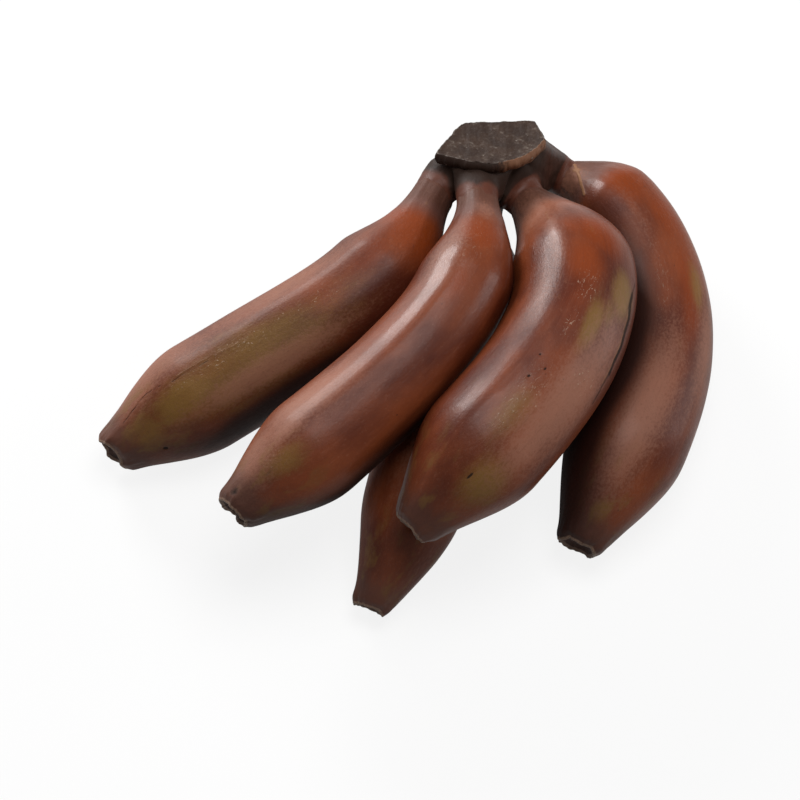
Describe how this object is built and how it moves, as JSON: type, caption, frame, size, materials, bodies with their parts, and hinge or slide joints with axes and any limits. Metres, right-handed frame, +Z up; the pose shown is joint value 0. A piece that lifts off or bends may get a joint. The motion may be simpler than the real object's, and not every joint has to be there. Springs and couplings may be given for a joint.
{
  "type": "hand of red bananas",
  "caption": "Hand of red bananas in two layers, joined at a woody crown and lying on its side, all curving the same way.",
  "frame": {"origin": "on the surface that the hand lies on, under the middle of its bounding box", "axes": "+Z up from that surface; +X to the right and +Y towards the crown"},
  "size_m": [0.2084, 0.174, 0.0713],
  "materials": {
    "crown_wood": "dry, dark brown-grey fibrous stem tissue, matt",
    "red_peel": "waxy red-brown banana peel, semi-gloss with a dusty mauve bloom"
  },
  "bodies": {
    "root": {"crown": "crown_wood", "banana_left": "red_peel", "banana_second": "red_peel", "banana_front": "red_peel", "banana_back": "red_peel", "banana_under": "red_peel"}
  },
  "joints": []
}
